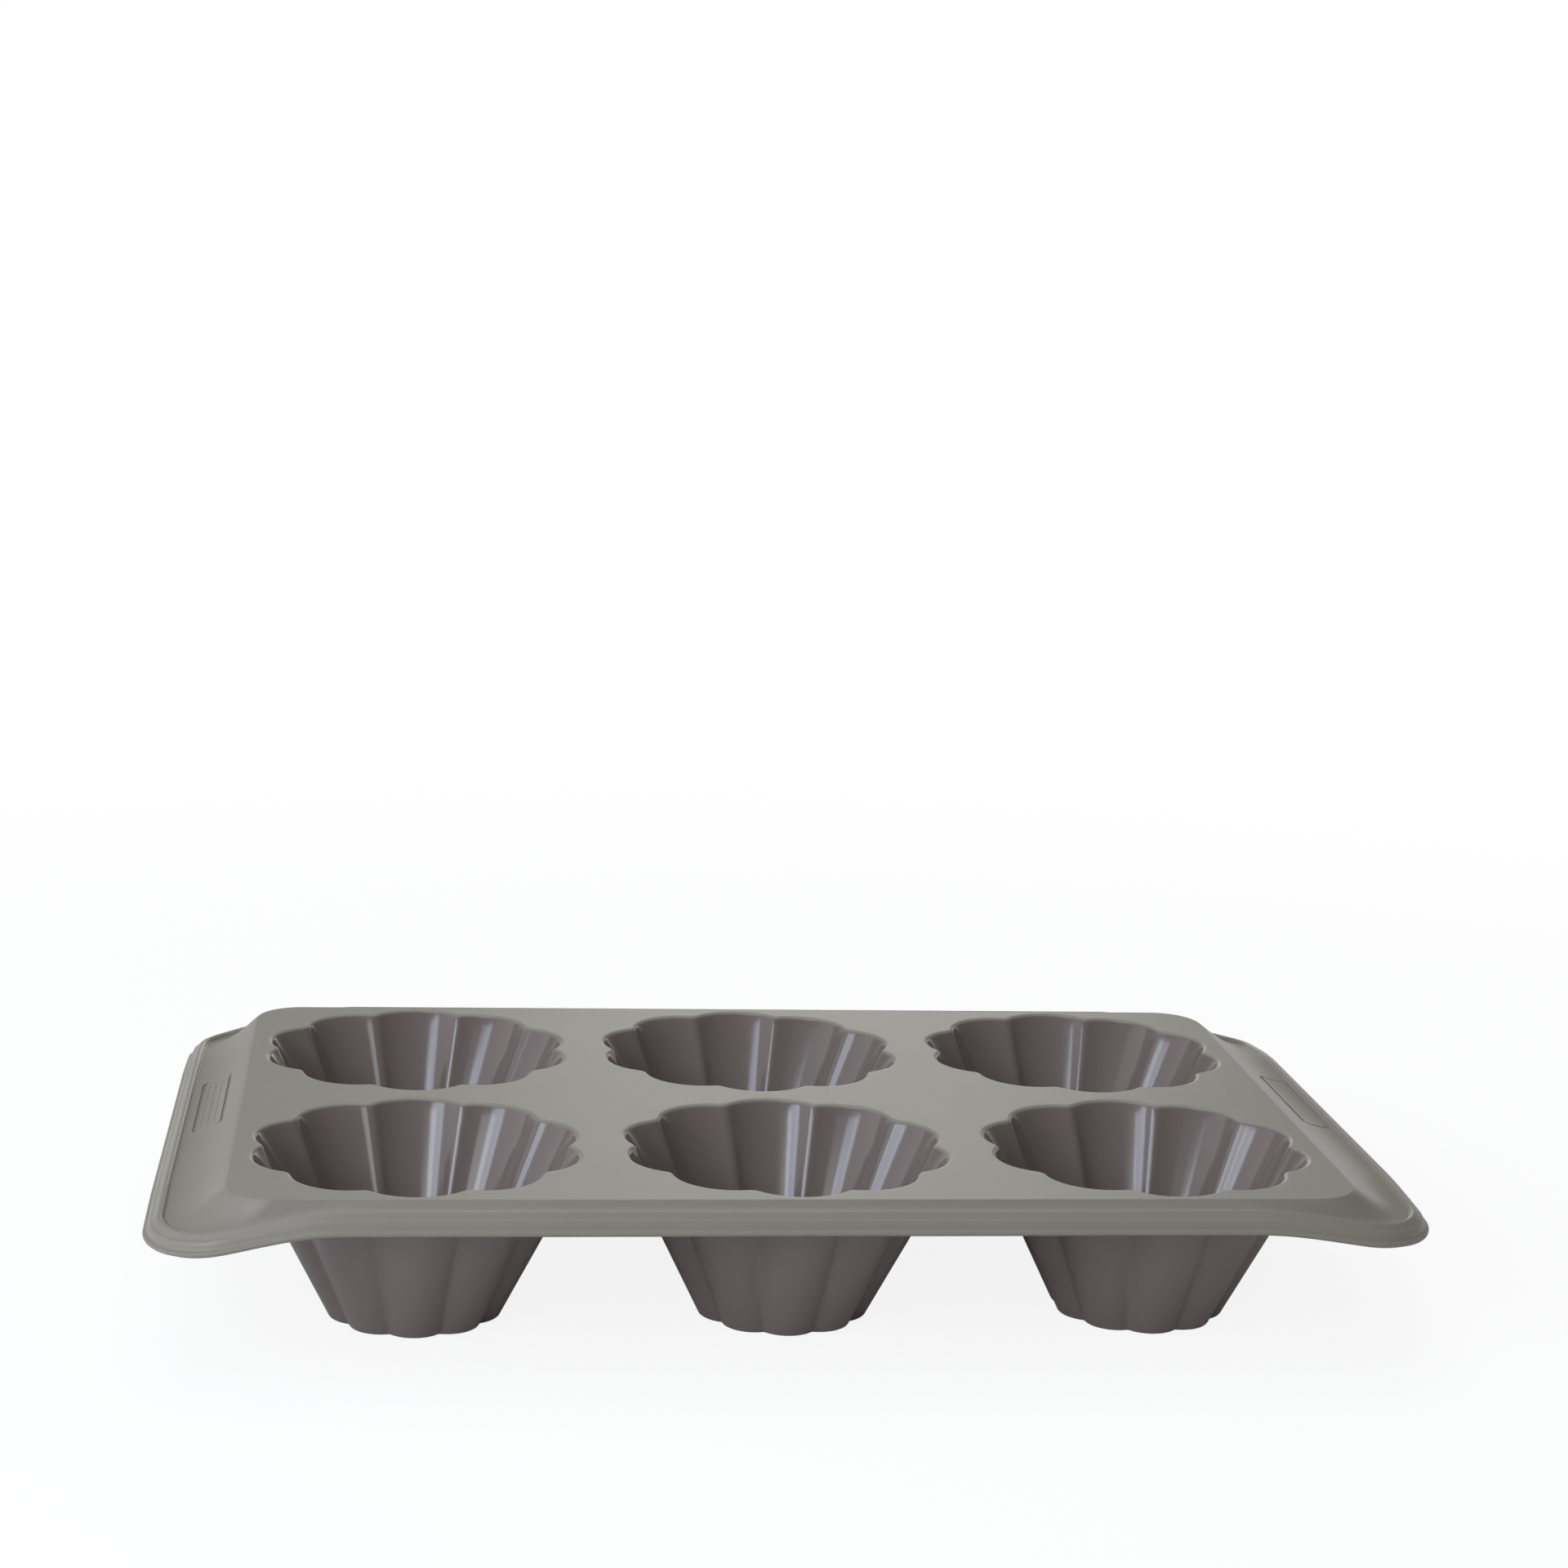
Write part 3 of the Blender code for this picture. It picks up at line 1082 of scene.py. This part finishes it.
class Signal:
    """A shader socket that adds Math nodes when it is used in an expression."""

    def __init__(self, shop: "PaintShop", socket: bpy.types.NodeSocket) -> None:
        """Wrap a socket of the material that a paint shop is mixing."""
        self.shop = shop
        self.socket = socket

    def math(self, operation: str, other: "Signal | float", swap: bool = False) -> "Signal":
        """Add one Math node on this value and another.

        Args:
            operation: The Math node's operation.
            other: A value or a number.
            swap: Whether the other one comes first.

        Returns:
            The node's value.
        """
        pair = (other, self) if swap else (self, other)
        inputs = {0: pair[0], 1: pair[1]}
        return self.shop.node("ShaderNodeMath", inputs, operation=operation)

    def __add__(self, other: "Signal | float") -> "Signal":
        """Add."""
        return self.math("ADD", other)

    __radd__ = __add__

    def __sub__(self, other: "Signal | float") -> "Signal":
        """Subtract."""
        return self.math("SUBTRACT", other)

    def __rsub__(self, other: float) -> "Signal":
        """Subtract this value from a number."""
        return self.math("SUBTRACT", other, swap=True)

    def __mul__(self, other: "Signal | float") -> "Signal":
        """Multiply."""
        return self.math("MULTIPLY", other)

    __rmul__ = __mul__

    def ramp(self, low: float, high: float) -> "Signal":
        """Ease from 0 at low to 1 at high."""
        settings = {"interpolation_type": "SMOOTHSTEP", "clamp": True}
        return self.shop.node("ShaderNodeMapRange", {0: self, 1: low, 2: high}, **settings)


class PaintShop:
    """Mixes one material, or the world, from nodes."""

    def __init__(self, made: bpy.types.Material | bpy.types.World) -> None:
        """Start with no nodes.

        Args:
            made: The new material or world.
        """
        made.use_nodes = True
        self.made = made
        self.tree = made.node_tree
        self.tree.nodes.clear()

    def node(self, kind: str, inputs: dict, output: int | str = 0, **settings: object) -> Signal:
        """Add a node.

        Args:
            kind: The node's type.
            inputs: A number, a colour or a Signal for each socket, by its index or name.
            output: Which output is given back.
            settings: The node's own settings. They are set before its sockets.

        Returns:
            The chosen output.
        """
        made = self.tree.nodes.new(kind)
        for key, value in settings.items():
            setattr(made, key, value)
        for key, value in inputs.items():
            if isinstance(value, Signal):
                self.tree.links.new(value.socket, made.inputs[key])
            else:
                made.inputs[key].default_value = value
        return Signal(self, made.outputs[output])

    def place(self) -> Signal:
        """Give the place on the piece, in metres."""
        return self.node("ShaderNodeTexCoord", {}, output="Object")

    def axis(self, index: int) -> Signal:
        """Give one coordinate of the place on the piece."""
        return self.node("ShaderNodeSeparateXYZ", {0: self.place()}, output=index)

    def noise(self, size: float, detail: float = 2.0, roughness: float = 0.5) -> Signal:
        """Give cloudy noise from 0 to 1.

        Args:
            size: Size of its clouds, in metres.
            detail: How many finer layers it has.
            roughness: How strong the finer layers are.

        Returns:
            The noise at the place on the piece.
        """
        inputs = {"Vector": self.place(), "Scale": 1.0 / size, "Detail": detail,
                  "Roughness": roughness}
        return self.node("ShaderNodeTexNoise", inputs)

    def ray(self, kind: str) -> Signal:
        """Tell whether the light path is a Camera, Glossy or Transmission ray, as 1 or 0."""
        return self.node("ShaderNodeLightPath", {}, output=f"Is {kind} Ray")

    def blend(self, mask: Signal, first: "Signal | tuple", second: "Signal | tuple") -> Signal:
        """Mix two colours by a mask."""
        inputs = {0: mask, 6: first, 7: second}
        return self.node("ShaderNodeMix", inputs, output=2, data_type="RGBA")

    def bump(self, height: Signal, distance: float, under: Signal | None = None) -> Signal:
        """Turn a height into a bent normal.

        Args:
            height: Height of the relief, from about 0 to 1.
            distance: Depth of the relief, in metres.
            under: A normal that this one is laid over.

        Returns:
            The normal.
        """
        inputs = {"Height": height, "Strength": 1.0, "Distance": distance}
        if under is not None:
            inputs["Normal"] = under
        return self.node("ShaderNodeBump", inputs)

    def output(self, shader: Signal) -> bpy.types.Material | bpy.types.World:
        """Send a shader to the surface.

        Args:
            shader: The shader.

        Returns:
            The finished material or world.
        """
        is_world = isinstance(self.made, bpy.types.World)
        kind = "ShaderNodeOutputWorld" if is_world else "ShaderNodeOutputMaterial"
        end = self.tree.nodes.new(kind)
        self.tree.links.new(shader.socket, end.inputs["Surface"])
        return self.made


# Linear colours of the finishes. The silicone is one colour in life, and these are lit and shaded
# tones of it. The top and rim are painted lighter for the light and sheen they catch, the insides
# darker for painted shade, and the outsides a little lighter than the insides for painted bounce
# light from the floor.
LIT_GREIGE = (0.216, 0.200, 0.164)
LIT_RIM_GREIGE = (0.207, 0.190, 0.156)
SHADED_UMBER = (0.145, 0.118, 0.106)
BOUNCE_LIT_UMBER = (0.188, 0.150, 0.138)
STEEL = (0.52, 0.52, 0.53)
PAPER = (0.95, 0.95, 0.95)
WHITE = (1.0, 1.0, 1.0)


def rgba(colour: Colour, gain: float = 1.0) -> tuple[float, float, float, float]:
    """Give a colour with its alpha, brighter or darker by a gain."""
    return (*(channel * gain for channel in colour), 1.0)


@dataclass(frozen=True)
class Silicone:
    """Greige silicone, from the matte top to the glossy insides of the cups. Each use gets its own
    colour, a lighter or darker tone of the one silicone that paints the light or shade on that
    part.
    """

    name: str
    colour: Colour
    roughness: float
    mottle: float = 0.06
    ior: float = 1.41
    cloud: float = 0.04
    cloud_size: float = 24.0 * MM
    grain: float = 0.010 * MM
    grain_size: float = 0.55 * MM
    wave: float = 0.05 * MM
    wave_size: float = 30.0 * MM
    # Colour down the mouths: the darker tone of the insides, which is painted shade
    polished_shade_colour: Colour | None = None
    polished_roughness: float = 0.25
    polished_grain: float = 0.3
    polish_top: float = 39.9 * MM
    polish_bottom: float = 39.1 * MM

    def clouded(self, shop: PaintShop, cloud: Signal, colour: Colour) -> Signal:
        """Make a colour a little darker and brighter from place to place."""
        return shop.blend(cloud, rgba(colour, 1 - self.cloud), rgba(colour, 1 + self.cloud))

    def make(self) -> bpy.types.Material:
        """Mix the material.

        Returns:
            The material.
        """
        shop = PaintShop(bpy.data.materials.new(self.name))
        cloud = shop.noise(self.cloud_size, detail=3.0)
        grain = shop.noise(self.grain_size)
        colour = self.clouded(shop, cloud, self.colour)
        rough = (grain - 0.5) * self.mottle + self.roughness
        # Down the mouth the roughness falls to the real polish of the insides, and the colour turns
        # to the darker tone that paints the shade in the cups
        if self.polished_shade_colour is not None:
            deep = 1.0 - shop.axis(2).ramp(self.polish_bottom, self.polish_top)
            colour = shop.blend(deep, colour, self.clouded(shop, cloud, self.polished_shade_colour))
            rough = rough + deep * (self.polished_roughness - self.roughness)
            grain = grain * (1.0 - deep * (1.0 - self.polished_grain))
        wave = shop.bump(shop.noise(self.wave_size, detail=1.0), self.wave)
        normal = shop.bump(grain, self.grain, wave)
        inputs = {"Base Color": colour, "Roughness": rough, "Normal": normal, "IOR": self.ior}
        shader = shop.node("ShaderNodeBsdfPrincipled", inputs)
        return shop.output(shader)


@dataclass(frozen=True)
class DrawnSteel:
    """Drawn steel wire with fine lines and a little colour change."""

    name: str = "drawn_steel"
    colour: Colour = STEEL
    roughness: float = 0.32
    mottle: float = 0.16
    darkest: float = 0.85
    brightest: float = 1.1
    line_size: float = 0.4 * MM
    line_depth: float = 0.01 * MM

    def make(self) -> bpy.types.Material:
        """Mix the material.

        Returns:
            The material.
        """
        shop = PaintShop(bpy.data.materials.new(self.name))
        lines = shop.noise(self.line_size, detail=4.0, roughness=0.7)
        dark, bright = rgba(self.colour, self.darkest), rgba(self.colour, self.brightest)
        inputs = {"Base Color": shop.blend(lines, dark, bright), "Metallic": 1.0,
                  "Roughness": (lines - 0.5) * self.mottle + self.roughness,
                  "Normal": shop.bump(lines, self.line_depth)}
        return shop.output(shop.node("ShaderNodeBsdfPrincipled", inputs))


@dataclass(frozen=True)
class PaleFloor:
    """A white floor that keeps a soft shadow near the mould and is plain white further out."""

    name: str = "pale_floor"
    bounce: float = 0.80
    shade: float = 0.12
    near: float = 0.22
    far: float = 0.75

    def make(self) -> bpy.types.Material:
        """Mix the material.

        Returns:
            The material.
        """
        shop = PaintShop(bpy.data.materials.new(self.name))
        distance = shop.node("ShaderNodeVectorMath", {0: shop.place()}, output="Value",
                             operation="LENGTH")
        close = 1.0 - distance.ramp(self.near, self.far)
        glossy = shop.ray("Glossy")
        seen = shop.ray("Camera").math("MAXIMUM", glossy).math("MAXIMUM", shop.ray("Transmission"))
        painted = close * (self.shade + (1.0 - self.shade) * glossy)
        white = shop.node("ShaderNodeEmission", {"Color": rgba(WHITE), "Strength": 1.0})
        paint = shop.node("ShaderNodeBsdfDiffuse", {"Color": rgba(PAPER)})
        dull = shop.node("ShaderNodeBsdfDiffuse", {"Color": rgba((self.bounce,) * 3)})
        shown = shop.node("ShaderNodeMixShader", {0: painted, 1: white, 2: paint})
        return shop.output(shop.node("ShaderNodeMixShader", {0: seen, 1: dull, 2: shown}))


# Hand-over to the frame


def hand_over(piece: bpy.types.Object, node: str) -> None:
    """Make a piece ride on the mould's body and stand for its node.

    Args:
        piece: The finished piece.
        node: The node that it stands for.
    """
    deselect_everything()
    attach(piece, BODY)
    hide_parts(node)
    LOG.info("%s: %d faces", piece.name, len(piece.data.polygons))


# Studio


@dataclass(frozen=True)
class SoftLamp:
    """One soft area lamp that looks at the mould. The camera never sees the lamp itself.

    Its bearing is in degrees from +Y towards +X. Its level is its brightness, where white is 1.
    """

    name: str
    bearing: float
    elevation: float
    distance: float
    width: float
    height: float
    level: float
    colour: Colour = WHITE
    target: Point = (0.0, 0.0, 0.03)

    def build(self) -> None:
        """Hang the lamp."""
        data = bpy.data.lights.new(self.name, "AREA")
        data.shape = "RECTANGLE"
        data.size, data.size_y = self.width, self.height
        data.energy = math.pi * self.width * self.height * self.level
        data.color = self.colour
        lamp = bpy.data.objects.new(self.name, data)
        lamp.visible_camera = False
        bpy.context.scene.collection.objects.link(lamp)
        away = direction(math.radians(self.bearing), math.radians(self.elevation))
        place = Vector(self.target) + away * self.distance
        turned = (-away).to_track_quat("-Z", "Y").to_matrix().to_4x4()
        lamp.matrix_world = Matrix.Translation(place) @ turned


@dataclass(frozen=True)
class PhotoCamera:
    """The camera that took the photograph. It looks a little down, and is rolled a little."""

    place: Point = (-0.0901, -0.7480, 0.2560)
    azimuth: float = math.radians(6.99)
    depression: float = math.radians(10.32)
    roll: float = math.radians(2.13)
    lens: float = 71.85
    film_width: float = 36.0

    def build(self) -> None:
        """Place the camera and make it the scene's own."""
        data = bpy.data.cameras.new("photo_camera")
        data.lens = self.lens
        data.sensor_width = self.film_width
        camera = bpy.data.objects.new("photo_camera", data)
        bpy.context.scene.collection.objects.link(camera)
        ahead = direction(self.azimuth, -self.depression)
        right = Vector((math.cos(self.azimuth), -math.sin(self.azimuth), 0.0))
        up = right.cross(ahead)
        turned_right = right * math.cos(self.roll) + up * math.sin(self.roll)
        turned_up = up * math.cos(self.roll) - right * math.sin(self.roll)
        axes = Matrix((turned_right, turned_up, -ahead)).transposed().to_4x4()
        camera.matrix_world = Matrix.Translation(self.place) @ axes
        bpy.context.scene.camera = camera


@dataclass(frozen=True)
class Studio:
    """Pale floor, soft lamps and a white world."""

    floor_size: float = 12.0
    floor_sink: float = 0.05 * MM
    fill: float = 0.30
    horizon: tuple[float, float] = (0.08, 0.20)
    # Name, bearing, elevation, distance, width, height, level and colour of each
    lamps: tuple[SoftLamp, ...] = (
        SoftLamp("window", 231.0, 27.0, 0.8, 0.32, 0.245, 8.4, (0.73, 0.81, 1.0)),
        SoftLamp("high_window", 235.0, 63.0, 2.0, 0.9, 0.8, 3.1, (0.80, 0.87, 1.0)),
        SoftLamp("front_left", 210.0, 24.0, 2.0, 1.0, 0.7, 4.9, (0.93, 0.96, 1.0)),
        SoftLamp("left", 268.0, 22.0, 2.0, 2.0, 1.1, 1.35, (0.84, 0.89, 1.0)),
        SoftLamp("high_back", 0.0, 65.0, 2.0, 1.2, 1.2, 2.2, (1.0, 0.985, 0.94)),
        SoftLamp("lit_backdrop", 8.0, 12.0, 2.0, 0.6, 0.7, 2.1, (1.0, 1.0, 0.97)),
        SoftLamp("right_backdrop", 32.0, 5.0, 2.0, 0.5, 0.35, 1.2),
    )

    def build(self) -> None:
        """Set up the whole studio."""
        scene = bpy.context.scene
        scene.view_settings.view_transform = "Standard"
        self.lay_floor()
        self.light_world()
        for lamp in self.lamps:
            lamp.build()
        PhotoCamera().build()

    def lay_floor(self) -> None:
        """Lay the floor just under the cups."""
        deselect_everything()
        bpy.ops.mesh.primitive_plane_add(size=self.floor_size, location=(0, 0, -self.floor_sink))
        floor = bpy.context.active_object
        floor.name = "floor"
        floor.data.materials.append(PaleFloor().make())

    def light_world(self) -> None:
        """Make the world white to look at, low down also in reflections, and a dim even fill."""
        world = bpy.data.worlds.new("studio_world")
        bpy.context.scene.world = world
        shop = PaintShop(world)
        along = shop.node("ShaderNodeTexCoord", {}, output="Generated")
        height = shop.node("ShaderNodeSeparateXYZ", {0: along}, output=2)
        low = 1.0 - height.ramp(*self.horizon)
        glossy = shop.ray("Glossy") * low
        seen = shop.ray("Camera").math("MAXIMUM", glossy).math("MAXIMUM", shop.ray("Transmission"))
        fill = shop.node("ShaderNodeBackground", {"Color": rgba((self.fill,) * 3)})
        white = shop.node("ShaderNodeBackground", {"Color": rgba(WHITE)})
        shop.output(shop.node("ShaderNodeMixShader", {0: seen, 1: fill, 2: white}))


# The whole mould


def main() -> None:
    """Build every piece in order, dress it and set up the studio."""
    logging.basicConfig(level=logging.INFO, format="%(name)s %(message)s")
    # One silicone in four finishes. Their roughness differs for real, and their colours are painted
    # tones of the one colour: lighter for light and sheen on the top and rim, darker for shade
    # inside the cups, and lighter for bounce light outside.
    top = Silicone("lit_top", LIT_GREIGE, 0.45, polished_shade_colour=SHADED_UMBER, polished_roughness=0.13).make()
    edge = Silicone("lit_rim", LIT_RIM_GREIGE, 0.42).make()
    inside = Silicone("shaded_inside", SHADED_UMBER, 0.13, grain=0.002 * MM).make()
    outside = Silicone("bounce_lit_outside", BOUNCE_LIT_UMBER, 0.36, grain=0.008 * MM).make()
    flat_top = Deck()
    deck = flat_top.build()
    flat_top.dress(deck, top, outside)
    hand_over(deck, "deck")
    beaded = Rim()
    rim = beaded.build()
    beaded.dress(rim, edge)
    hand_over(rim, "rim")
    wire = beaded.tube("wire_ring", RIM.wire_radius)
    beaded.dress(wire, DrawnSteel().make())
    hand_over(wire, "rim_wire")
    cups = [Cup(place, centre) for place, centre in cup_places()]
    pattern = cups[0].build()
    cups[0].dress(pattern, inside, outside)
    pieces = [pattern] + [cup.copy_of(pattern) for cup in cups[1:]]
    for cup, piece in zip(cups, pieces):
        cup.settle(piece)
    Studio().build()


if __name__ == "__main__":
    main()
